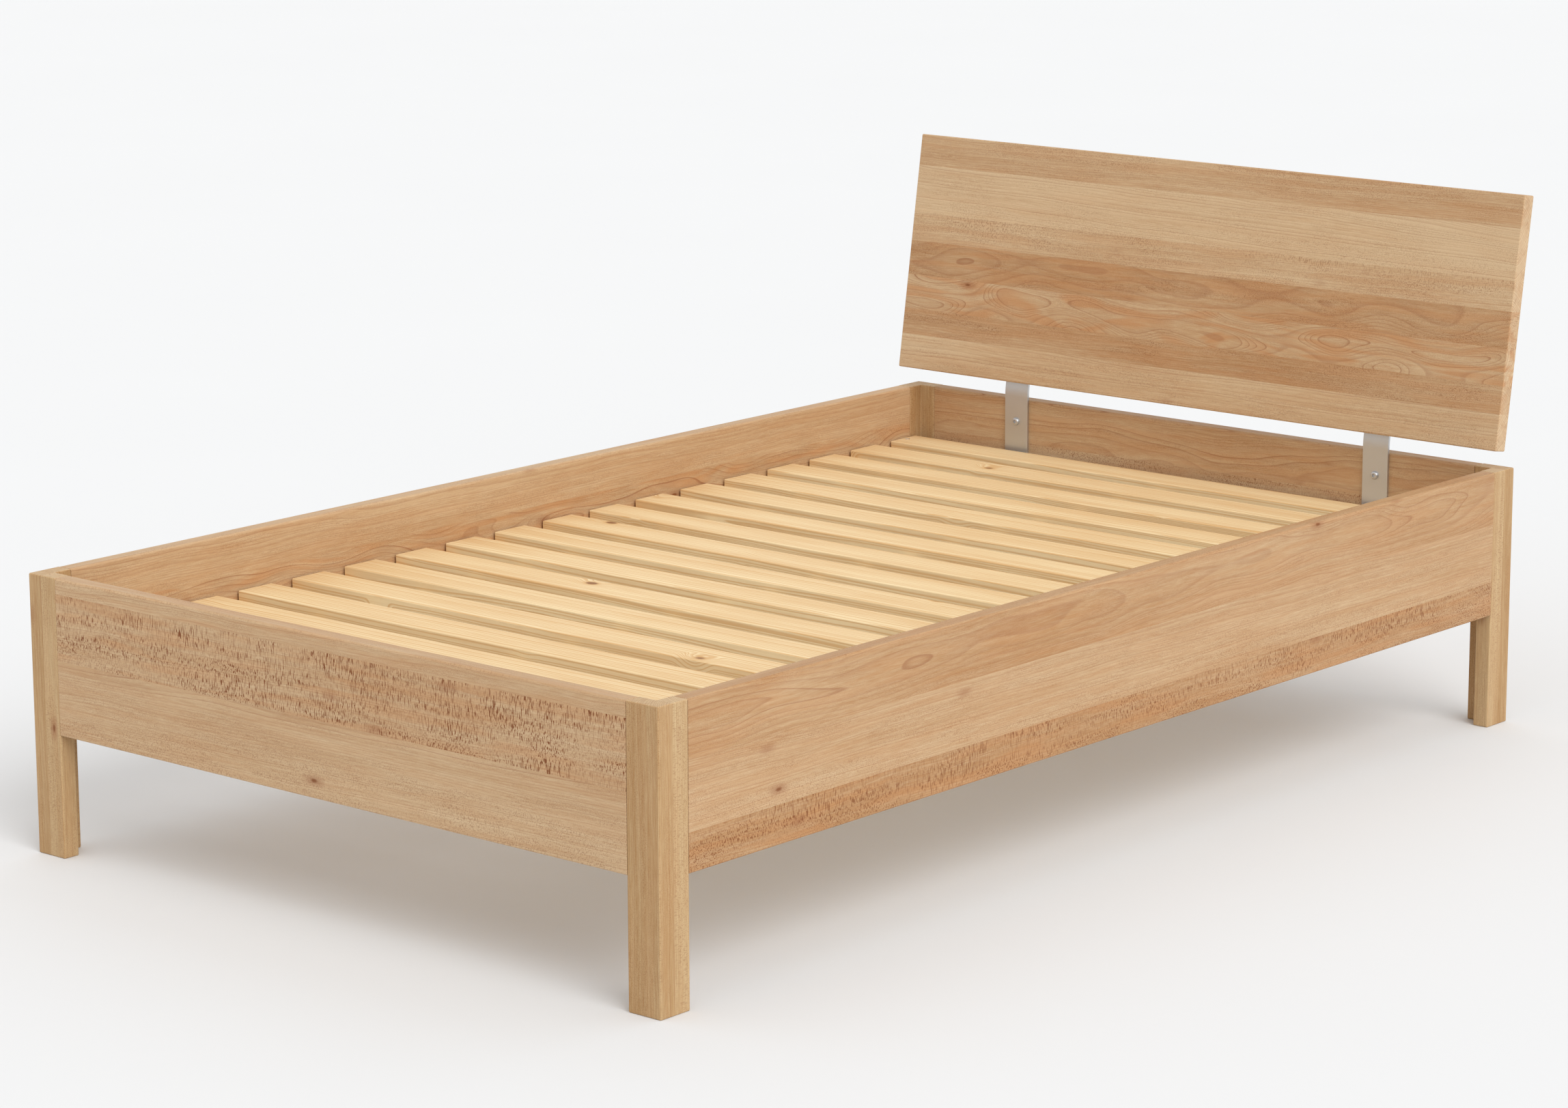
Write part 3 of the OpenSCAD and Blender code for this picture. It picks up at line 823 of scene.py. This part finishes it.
def set_fasteners(blank, solids, node, seed=3, turn=tau, proud=0.0):
    """Makes one piece of a node's fasteners. solids is [(a solid's points, the way it faces)], and
    the heads stand that far proud of the solids' outer ends."""
    mesh = bpy.data.meshes.new("places")
    mesh.from_pydata([outer_end(points, way) + way * proud for points, way in solids], [], [])
    facing = mesh.attributes.new("facing", "FLOAT_VECTOR", "POINT")
    facing.data.foreach_set("vector", [c for _, way in solids for c in way])
    slot = "zinc_plated_fasteners"
    values = {"Fastener": blank, "Turn": turn, "Seed": seed, "Material": material_of(slot)}
    enter(grow(f"{node}_set", mesh, fastener_set, values), slot, node)


# ---------------------------------------------------------------- hardware shapes


def ring_reach(kind, size, angle):
    """How far a ring reaches at an angle: a circle of that radius, a hexagon that wide across its
    flats, or a cross whose arms are (length, width)."""
    if kind == "hexagon":
        return size / 2 / cos((angle + pi / 6) % (pi / 3) - pi / 6)
    if kind == "cross":
        length, width = size
        off = abs((angle + pi / 4) % (pi / 2) - pi / 4)
        return min(length / 2 / cos(off), width / 2 / max(sin(off), 1e-6))
    return size


def turned(name, profile, sides):
    """A piece turned on a lathe. profile is [(kind of ring, its size, height)] in millimetres, from
    the bottom out and in again."""
    rings = []
    for kind, size, height in profile:
        angles = [tau * k / sides for k in range(sides)]
        reach = [(a, ring_reach(kind, size, a)) for a in angles]
        rings.append([MM * Vector((r * cos(a), r * sin(a), height)) for a, r in reach])
    return blank_object(loft(rings), name)


def blank_object(shape, name):
    """A shape that only geometry nodes use, kept out of the scene."""
    mesh = bpy.data.meshes.new(name)
    for face in shape.faces:
        face.smooth = True
    shape.to_mesh(mesh)
    shape.free()
    mesh.set_sharp_from_angle(angle=radians(32))
    return bpy.data.objects.new(name, mesh)


def bolt_blank():
    """M8 button-head bolt with a hexagon socket; the head's top is at the origin."""
    # Radius and height of the head, radius and length of the shank, width and depth of the socket
    head, tall = 7, 4.4
    shank, length = 4, 16
    flats, deep = 5, 2.6
    dome = [
        ("round", head * (1 - 0.42 * (1 - cos(a))), tall * (0.78 * sin(a) - 0.78))
        for a in (pi / 2 * k / 6 for k in range(6))
    ]
    profile = [
        ("round", shank * 0.8, -tall - length),
        ("round", shank, 1 - tall - length),
        ("round", shank, -tall),
        ("round", head * 0.97, -tall),
        ("round", head, 0.3 - tall),
        *dome,
        ("round", head * 0.5, -0.02),
        ("hexagon", flats * 1.06, -0.05),
        ("hexagon", flats, -0.35),
        ("hexagon", flats, -deep),
        ("hexagon", flats * 0.5, -deep - 0.3),
    ]
    return turned("bolt_blank", profile, 24)


def screw_blank(length):
    """Countersunk wood screw with a cross recess; the head's top is at the origin."""
    # Radii of the head and the shank, and the height of the head's cone
    head, shank, sunk = 4.5, 2.25, 2.25
    profile = [
        ("round", 0.4, -length),
        ("round", shank, 5 - length),
        ("round", shank, -sunk - 0.2),
        ("round", head - 0.1, -0.25),
        ("round", head, -0.12),
        ("round", head - 0.1, 0),
        ("round", head * 0.66, 0),
        ("cross", (5.2, 1.5), -0.02),
        ("cross", (4.6, 1.0), -0.6),
        ("cross", (2.4, 0.7), -1.9),
    ]
    return turned("screw_blank", profile, 32)


def staple_blank():
    """Staple of flat wire; its crown's outside is at the origin and its legs point to -Z."""
    # Half its width, the thickness of its wire, its legs' length and the radius of its bends
    half, wire, leg, bend = 5 * MM, 1 * MM, 12 * MM, 1 * MM
    arm = half - wire / 2
    turns = [pi / 2 * k / 3 for k in range(4)]
    arc = [(arm - bend * (1 - cos(a)), -wire / 2 - bend * (1 - sin(a))) for a in turns]
    leg_up = [(arm, -leg), *arc]
    path = [(-x, z) for x, z in leg_up] + leg_up[::-1]
    path = [Vector((x, 0, z)) for x, z in path]
    rings = []
    for i, point in enumerate(path):
        along = (path[min(i + 1, len(path) - 1)] - path[max(i - 1, 0)]).normalized()
        out = along.cross(Y)
        square = ((-1, -1), (1, -1), (1, 1), (-1, 1))
        rings.append([point + (out * a + Y * b) * wire / 2 for a, b in square])
    return blank_object(loft(rings), "staple_blank")


# ---------------------------------------------------------------- operators


class BED_OT_rails(Operator):
    """Make the four rails, each an edge-glued board of wide beech staves"""

    bl_idname = "bed.rails"
    bl_label = "Rails"

    def execute(self, context):
        edges = context.scene.bed_edges
        rounds = (edges.edge, edges.rail_top, edges.joint)
        # Each rail's directions (along it, from its outer to its inner face, up) and its staves
        plans = {
            "foot_rail": ((X, Y, Z), FOOT_STAVES),
            "head_rail": ((-X, -Y, Z), HEAD_STAVES),
            "side_rail_right": ((Y, -X, Z), RIGHT_STAVES),
            "side_rail_left": ((-Y, X, Z), LEFT_STAVES),
        }
        for seed, (node, (axes, staves)) in enumerate(plans.items(), 11):
            piece = board(f"{node}_board", axes, *box_along(node, axes), staves, seed, rounds)
            enter(piece, "beech_frame", node)
        return {"FINISHED"}


class BED_OT_posts(Operator):
    """Make the four corner posts, each glued up from two boards to an L"""

    bl_idname = "bed.posts"
    bl_label = "Posts"

    def execute(self, context):
        edges = context.scene.bed_edges
        rail_low, rail_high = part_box("foot_rail")
        thick = rail_high.y - rail_low.y
        for seed, (corner, inward) in enumerate(CORNERS.items(), 31):
            node = f"post_{corner}"
            # The whole board faces the bed's end on the right, and its side on the left
            axes = (Z, *(inward if "right" in corner else reversed(inward)))
            outer, (height, arm, _) = box_along(node, axes)
            corners = [(0, 0), (arm, 0), (arm, thick), (thick, thick), (thick, arm), (0, arm)]
            corners = [(x, y, edges.edge * (0.4 if x == y == thick else 1)) for x, y in corners]
            shape = drawn_out(corners, height, edges.edge * 0.9, edges.steps)
            cut_at(shape, thick)
            whole, glued = POST_STAVES
            parts = [(0, arm, 0, thick, whole), (0, thick, thick, arm, glued)]
            give_grain(shape, height, parts, seed)
            piece = to_object(shape, f"{node}_boards", "oiled_beech_posts", placed(outer, *axes))
            enter(piece, "beech_posts", node)
        return {"FINISHED"}


class BED_OT_headboard(Operator):
    """Make the leaning headboard from seven beech staves"""

    bl_idname = "bed.headboard"
    bl_label = "Headboard"

    def execute(self, context):
        edge = context.scene.bed_edges.edge
        panel = leaning_board()
        low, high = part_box("headboard")
        axes = (X, panel.back, panel.up)
        size = (high.x - low.x, panel.thickness, panel.height)
        rounds = (edge, edge, edge * 0.9)
        piece = board("headboard_panel", axes, panel.front, size, HEADBOARD_STAVES, 21, rounds)
        enter(piece, "beech_frame", "headboard")
        return {"FINISHED"}


class BED_OT_ledgers(Operator):
    """Make the two spruce ledgers that carry the slats"""

    bl_idname = "bed.ledgers"
    bl_label = "Ledgers"

    def execute(self, context):
        edges = context.scene.bed_edges
        rounds = (edges.slat, edges.slat, edges.joint)
        axes = (Y, -X, Z)
        for seed, side in enumerate(SIDES, 51):
            node = f"slat_ledger_{side}"
            look = (LEDGER_STAVES, seed, rounds, "planed_spruce")
            piece = board(f"{node}_batten", axes, *box_along(node, axes), *look)
            enter(piece, "spruce_slats", node)
        return {"FINISHED"}


class BED_OT_slats(Operator):
    """Lay the row of spruce slats"""

    bl_idname = "bed.slats"
    bl_label = "Slats"

    def execute(self, context):
        edges = context.scene.bed_edges
        nodes = slat_nodes()
        first, last = (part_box(nodes[i])[0] for i in (0, -1))
        rounds = (edges.slat, edges.slat, edges.joint)
        axes = (X, Y, Z)
        look = (SLAT_STAVES, 61, rounds, "planed_spruce")
        blank = board("slat_blank", axes, *box_along(nodes[0], axes), *look)
        values = {
            "Blank": blank,
            "Count": len(nodes),
            "Pitch": (last.y - first.y) / (len(nodes) - 1),
            "Seed": context.scene.bed_slats.seed,
            "Material": material_of("planed_spruce"),
        }
        piece = grow("slats", bpy.data.meshes.new("row"), slat_row, values)
        bpy.data.objects.remove(blank)
        enter(piece, "spruce_slats", *nodes)
        return {"FINISHED"}


class BED_OT_tapes(Operator):
    """Make the woven tapes, which hang a little between the slats that they join"""

    bl_idname = "bed.tapes"
    bl_label = "Tapes"

    def execute(self, context):
        sag = context.scene.bed_slats.sag
        spans = [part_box(n) for n in slat_nodes()]
        for which in ("left", "middle", "right"):
            node = f"slat_tape_{which}"
            low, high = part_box(node)
            path = []
            for i, (a, b) in enumerate(spans):
                start, stop = max(a.y, low.y), min(b.y, high.y)
                path += [(start + (stop - start) * k / 4, 0.0) for k in range(5)]
                if i + 1 < len(spans):
                    gap = spans[i + 1][0].y - b.y
                    path += [(b.y + gap * k / 8, sag * (1 - (k / 4 - 1) ** 2)) for k in range(1, 8)]
            piece = self.strip(f"{node}_webbing", low, high, path)
            enter(piece, "cotton_tape", node)
        return {"FINISHED"}

    def strip(self, name, low, high, path):
        """A flat strip along Y with its weave's coordinates. path is [(place along Y, drop)]."""
        thick, wide = high.z - low.z, high.x - low.x
        corners = box_corners(wide, thick, thick * 0.45, thick * 0.45)
        outline = ring_of(corners, 0, 2)[::-1]
        shape = loft([[(low.x + p.x, y, low.z + p.y - drop) for p in outline] for y, drop in path])
        weave = shape.loops.layers.uv.new("weave")
        for face in shape.faces:
            for corner in face.loops:
                corner[weave].uv = ((corner.vert.co - low) / MM).xy
        return to_object(shape, name, "woven_cotton")


class BED_OT_headboard_brackets(Operator):
    """Make the two bent flat bars that carry the headboard"""

    bl_idname = "bed.headboard_brackets"
    bl_label = "Headboard brackets"

    def execute(self, context):
        hardware = context.scene.bed_hardware
        panel = leaning_board()
        back_low = panel.front + panel.back * panel.thickness
        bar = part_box("headboard_bracket_left")[0].y
        bend_z = back_low.z + (bar - back_low.y) / tan(panel.lean)
        rail_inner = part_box("head_rail")[0].y
        steel = "zinc_plated_steel"
        # The bend is an arc that reaches this far down and up from its middle
        reach = 10 * MM
        for side in SIDES:
            node = f"headboard_bracket_{side}"
            low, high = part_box(node)
            down = bend_z - low.z
            up = (high.z - bend_z) / cos(panel.lean)
            rounding = hardware.bar_corner
            corners = box_corners(high.x - low.x, down + up, rounding, rounding)
            shape = drawn_out(corners, rail_inner - bar, hardware.steel_edge, 3)
            for k in range(-4, 5):
                cut_at(shape, down + reach * k / 4)
            for vertex in shape.verts:
                vertex.co = self.bent(vertex.co, down, reach, panel)
            # The bar's thickness runs back from its front face, and its width along X
            matrix = placed((low.x, bar, low.z), Y, X, Z)
            enter(to_object(shape, f"{node}_bar", steel, matrix), steel, node)
        return {"FINISHED"}

    def bent(self, place, start, reach, panel):
        """A flat bar's point after its bend round the height start: an arc, and above it a straight
        part that leans with the panel."""
        along = place.z - start
        if along <= -reach:
            return place
        angle = panel.lean * min((along + reach) / (2 * reach), 1)
        radius = 2 * reach / panel.lean
        middle = Vector((radius, 0, start - reach))
        arm = radius - place.x
        arc = middle + Vector((-arm * cos(angle), place.y, arm * sin(angle)))
        leaning = Vector((sin(panel.lean), 0, cos(panel.lean)))
        return arc + leaning * max(along - reach, 0)


class BED_OT_corner_brackets(Operator):
    """Make the four bent steel angles in the corners"""

    bl_idname = "bed.corner_brackets"
    bl_label = "Corner brackets"

    def execute(self, context):
        hardware = context.scene.bed_hardware
        sheet, edge = hardware.angle_sheet, hardware.steel_edge
        steel = "zinc_plated_steel"
        for corner, inward in CORNERS.items():
            node = f"corner_bracket_{corner}"
            outer, (height, wing, _) = box_along(node, (Z, *inward))
            corners = [
                (0, 0, 2 * sheet),
                (wing, 0, edge),
                (wing, sheet, edge),
                (sheet, sheet, sheet),
                (sheet, wing, edge),
                (0, wing, edge),
            ]
            shape = drawn_out(corners, height, edge * 0.8, 4)
            matrix = placed(outer, Z, *inward)
            enter(to_object(shape, f"{node}_angle", steel, matrix), steel, node)
        return {"FINISHED"}


class BED_OT_bolts(Operator):
    """Drive the button-head bolts of the corner brackets and of the headboard"""

    bl_idname = "bed.bolts"
    bl_label = "Bolts"

    def execute(self, context):
        blank = bolt_blank()
        for seed, (corner, inward) in enumerate(CORNERS.items()):
            node = f"corner_bolts_{corner}"
            # A bolt is longer than its head is wide, which tells its way from the other one
            solids = []
            for points in solids_of(node):
                lengths = [length_along(points, way) for way in inward]
                solids.append((points, inward[lengths.index(max(lengths))]))
            set_fasteners(blank, solids, node, seed)
        # The lower ones sit in the rail, the upper ones in the leaning headboard
        node = "headboard_bolts"
        rail_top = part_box("head_rail")[1].z
        upper = leaning_board().back
        solids = [(points, upper if points[0].z > rail_top else -Y) for points in solids_of(node)]
        set_fasteners(blank, solids, node, 9)
        bpy.data.objects.remove(blank)
        return {"FINISHED"}


class BED_OT_screws(Operator):
    """Drive the countersunk screws of the ledgers and of the end slats"""

    bl_idname = "bed.screws"
    bl_label = "Screws"

    def execute(self, context):
        # Enough to keep the heads out of the plane of the wood's face
        proud = 0.15 * MM
        plans = {"ledger_screws_left": (X, 5), "ledger_screws_right": (-X, 6), "slat_screws": (Z, 8)}
        for node, (facing, seed) in plans.items():
            solids = [(points, facing) for points in solids_of(node)]
            blank = screw_blank(length_along(solids[0][0], facing) / MM)
            set_fasteners(blank, solids, node, seed, proud=proud)
            bpy.data.objects.remove(blank)
        return {"FINISHED"}


class BED_OT_staples(Operator):
    """Shoot the staples that hold the tapes to the slats"""

    bl_idname = "bed.staples"
    bl_label = "Staples"

    def execute(self, context):
        blank = staple_blank()
        node = "tape_staples"
        set_fasteners(blank, [(points, -Z) for points in solids_of(node)], node, turn=0.0)
        bpy.data.objects.remove(blank)
        return {"FINISHED"}


class BED_OT_hidden_pieces(Operator):
    """Finish the dowels and inserts, which stay inside the wood"""

    bl_idname = "bed.hidden_pieces"
    bl_label = "Dowels and inserts"

    def execute(self, context):
        inserts = [f"corner_inserts_{corner}" for corner in CORNERS] + ["headboard_inserts"]
        finishes = {node: "zinc_plated_fasteners" for node in inserts}
        finishes["rail_dowels"] = "oiled_beech_posts"
        for node, name in finishes.items():
            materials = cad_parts[node].data.materials
            materials.clear()
            materials.append(material_of(name))
        return {"FINISHED"}


class BED_OT_studio(Operator):
    """Set up the pale floor, the soft light and the camera"""

    bl_idname = "bed.studio"
    bl_label = "Studio"

    def execute(self, context):
        look = context.scene.bed_studio
        self.floor()
        self.light(look)
        world = bpy.data.worlds.new("soft studio")
        world.use_nodes = True
        sky = world.node_tree.nodes["Background"]
        sky.inputs["Color"].default_value = (1.0, 0.998, 0.993, 1)
        sky.inputs["Strength"].default_value = look.sky
        context.scene.world = world
        context.scene.view_settings.view_transform = "Standard"
        self.camera(look)
        return {"FINISHED"}

    def floor(self):
        """A round floor that reaches past every view."""
        shape = bmesh.new()
        bmesh.ops.create_circle(shape, cap_ends=True, segments=96, radius=80)
        to_object(shape, "studio_floor", "studio_floor")

    def light(self, look):
        """A wide, soft light from high on the bed's right, over the even light from all round."""
        lamp = bpy.data.lights.new("key", "SUN")
        lamp.energy = look.key
        lamp.angle = look.spread
        place = Vector((4.0, -1.4, 3.3))
        self.aimed(lamp, place, place)

    def camera(self, look):
        """The camera, at its distance from the point that it looks at."""
        view = bpy.data.cameras.new("camera")
        view.lens = look.lens
        view.sensor_width = 36
        view.clip_end = 200
        a, e = look.azimuth, look.elevation
        back = Vector((sin(a) * cos(e), -cos(a) * cos(e), sin(e)))
        place = Vector(look.aim) + back * look.distance
        bpy.context.scene.camera = self.aimed(view, place, back, look.roll)

    def aimed(self, data, place, back, roll=0.0):
        """An object at a place, turned away from the way back and rolled about it."""
        held = bpy.data.objects.new(data.name, data)
        held.location = place
        turn = (-back).to_track_quat("-Z", "Y").to_matrix() @ Matrix.Rotation(roll, 3, "Z")
        held.rotation_euler = turn.to_euler()
        bpy.context.scene.collection.objects.link(held)
        return held


GROUPS = {
    "bed_wood": BedWood,
    "bed_edges": BedEdges,
    "bed_slats": BedSlats,
    "bed_hardware": BedHardware,
    "bed_studio": BedStudio,
}
OPERATORS = (
    BED_OT_studio,
    BED_OT_rails,
    BED_OT_posts,
    BED_OT_headboard,
    BED_OT_ledgers,
    BED_OT_slats,
    BED_OT_tapes,
    BED_OT_headboard_brackets,
    BED_OT_corner_brackets,
    BED_OT_bolts,
    BED_OT_screws,
    BED_OT_staples,
    BED_OT_hidden_pieces,
)


class BED_PT_panel(Panel):
    """Lists the bed's pieces and their sizes"""

    bl_idname = "BED_PT_panel"
    bl_label = "Bed frame"
    bl_space_type = "VIEW_3D"
    bl_region_type = "UI"
    bl_category = "Bed"

    def draw(self, context):
        for operator in OPERATORS:
            self.layout.operator(operator.bl_idname)
        for name in GROUPS:
            group = getattr(context.scene, name)
            for prop in group.bl_rna.properties:
                if prop.identifier not in ("rna_type", "name"):
                    self.layout.prop(group, prop.identifier)


CLASSES = (*GROUPS.values(), *OPERATORS, BED_PT_panel)


def register():
    for kind in CLASSES:
        bpy.utils.register_class(kind)
    for name, kind in GROUPS.items():
        setattr(Scene, name, PointerProperty(type=kind))


def unregister():
    for name in GROUPS:
        delattr(Scene, name)
    for kind in reversed(CLASSES):
        bpy.utils.unregister_class(kind)


def main():
    register()
    for operator in OPERATORS:
        _, name = operator.bl_idname.split(".")
        getattr(bpy.ops.bed, name)()


if __name__ == "__main__":
    main()
